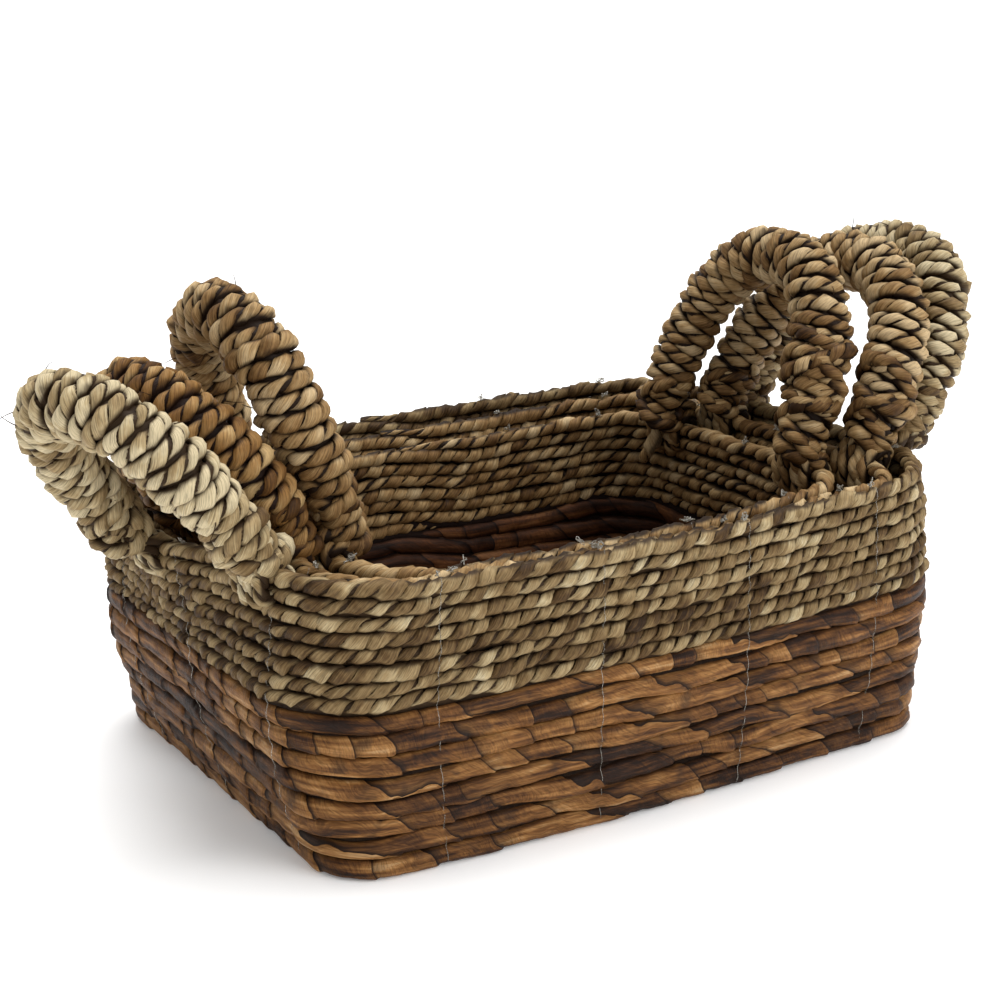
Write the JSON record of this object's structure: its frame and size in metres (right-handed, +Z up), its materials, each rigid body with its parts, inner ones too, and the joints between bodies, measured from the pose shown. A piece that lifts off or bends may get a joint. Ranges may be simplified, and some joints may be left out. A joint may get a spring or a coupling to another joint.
{
  "type": "bread basket",
  "caption": "Nesting rectangular coiled-rope bread baskets with arched grip handles, pale seagrass above banana bark, stacked one inside another.",
  "frame": {"origin": "middle of the flat underside of the large basket's base mat, on the surface it stands on", "axes": "+X along the long sides towards the handles that lean least, +Y towards the back long side, +Z up"},
  "size_m": [0.4754, 0.2623, 0.226],
  "materials": {
    "seagrass_pale": "dry twisted rope",
    "seagrass_brown": "dry twisted rope",
    "banana_bark": "dry flat bark strips wound on a rope",
    "handle_cane": "raw cane",
    "nylon_thread": "clear monofilament"
  },
  "bodies": {
    "large_basket": {"large_banana_coil": "banana_bark", "large_base_mat": "banana_bark", "large_left_back_lashing": "seagrass_pale", "large_left_front_lashing": "seagrass_pale", "large_right_back_lashing": "seagrass_pale", "large_right_front_lashing": "seagrass_pale", "large_seagrass_coil": "seagrass_pale", "large_thread_back": "nylon_thread", "large_thread_corner_1": "nylon_thread", "large_thread_corner_2": "nylon_thread", "large_thread_corner_3": "nylon_thread", "large_thread_corner_4": "nylon_thread", "large_thread_front": "nylon_thread", "large_thread_left": "nylon_thread", "large_thread_right": "nylon_thread"},
    "medium_basket": {"medium_banana_coil": "banana_bark", "medium_base_mat": "banana_bark", "medium_left_back_lashing": "seagrass_brown", "medium_left_front_lashing": "seagrass_brown", "medium_right_back_lashing": "seagrass_brown", "medium_right_front_lashing": "seagrass_brown", "medium_seagrass_coil": "seagrass_brown", "medium_thread_back": "nylon_thread", "medium_thread_corner_1": "nylon_thread", "medium_thread_corner_2": "nylon_thread", "medium_thread_corner_3": "nylon_thread", "medium_thread_corner_4": "nylon_thread", "medium_thread_front": "nylon_thread", "medium_thread_left": "nylon_thread", "medium_thread_right": "nylon_thread"},
    "small_basket": {"small_banana_coil": "banana_bark", "small_base_mat": "banana_bark", "small_left_back_lashing": "seagrass_brown", "small_left_front_lashing": "seagrass_brown", "small_right_back_lashing": "seagrass_brown", "small_right_front_lashing": "seagrass_brown", "small_seagrass_coil": "seagrass_brown", "small_thread_back": "nylon_thread", "small_thread_corner_1": "nylon_thread", "small_thread_corner_2": "nylon_thread", "small_thread_corner_3": "nylon_thread", "small_thread_corner_4": "nylon_thread", "small_thread_front": "nylon_thread", "small_thread_left": "nylon_thread", "small_thread_right": "nylon_thread"},
    "large_left_handle": {"large_left_handle_core": "handle_cane", "large_left_handle_wrap": "seagrass_pale"},
    "medium_left_handle": {"medium_left_handle_core": "handle_cane", "medium_left_handle_wrap": "seagrass_brown"},
    "small_left_handle": {"small_left_handle_core": "handle_cane", "small_left_handle_wrap": "seagrass_brown"},
    "small_right_handle": {"small_right_handle_core": "handle_cane", "small_right_handle_wrap": "seagrass_brown"},
    "medium_right_handle": {"medium_right_handle_core": "handle_cane", "medium_right_handle_wrap": "seagrass_brown"},
    "large_right_handle": {"large_right_handle_core": "handle_cane", "large_right_handle_wrap": "seagrass_pale"}
  },
  "joints": [
    {"name": "medium_basket_lift", "type": "slide", "parent": "large_basket", "child": "medium_basket", "axis": [0, 0, 1], "range_m": [0, 0.21]},
    {"name": "small_basket_lift", "type": "slide", "parent": "medium_basket", "child": "small_basket", "axis": [0, 0, 1], "range_m": [0, 0.21]},
    {"name": "large_left_handle_hinge", "type": "hinge", "parent": "large_basket", "child": "large_left_handle", "pos_m": [-0.1765, -0.029, 0.128], "axis": [0.2756, -0.9595, 0.0587], "range_deg": [-2, 12]},
    {"name": "medium_left_handle_hinge", "type": "hinge", "parent": "medium_basket", "child": "medium_left_handle", "pos_m": [-0.147, -0.011, 0.128], "axis": [0.1564, -0.9877, 0], "range_deg": [-2, 2]},
    {"name": "small_left_handle_hinge", "type": "hinge", "parent": "small_basket", "child": "small_left_handle", "pos_m": [-0.1205, -0.0085, 0.1255], "axis": [0.0576, -0.9983, 0], "range_deg": [-12, 2]},
    {"name": "small_right_handle_hinge", "type": "hinge", "parent": "small_basket", "child": "small_right_handle", "pos_m": [0.1195, -0.006, 0.1255], "axis": [-0.0523, 0.9986, 0], "range_deg": [-12, 2]},
    {"name": "medium_right_handle_hinge", "type": "hinge", "parent": "medium_basket", "child": "medium_right_handle", "pos_m": [0.1453, -0.023, 0.131], "axis": [-0.0958, 0.9954, 0], "range_deg": [-2, 2]},
    {"name": "large_right_handle_hinge", "type": "hinge", "parent": "large_basket", "child": "large_right_handle", "pos_m": [0.1725, -0.0144, 0.1325], "axis": [-0.1392, 0.9903, 0], "range_deg": [-2, 12]}
  ]
}
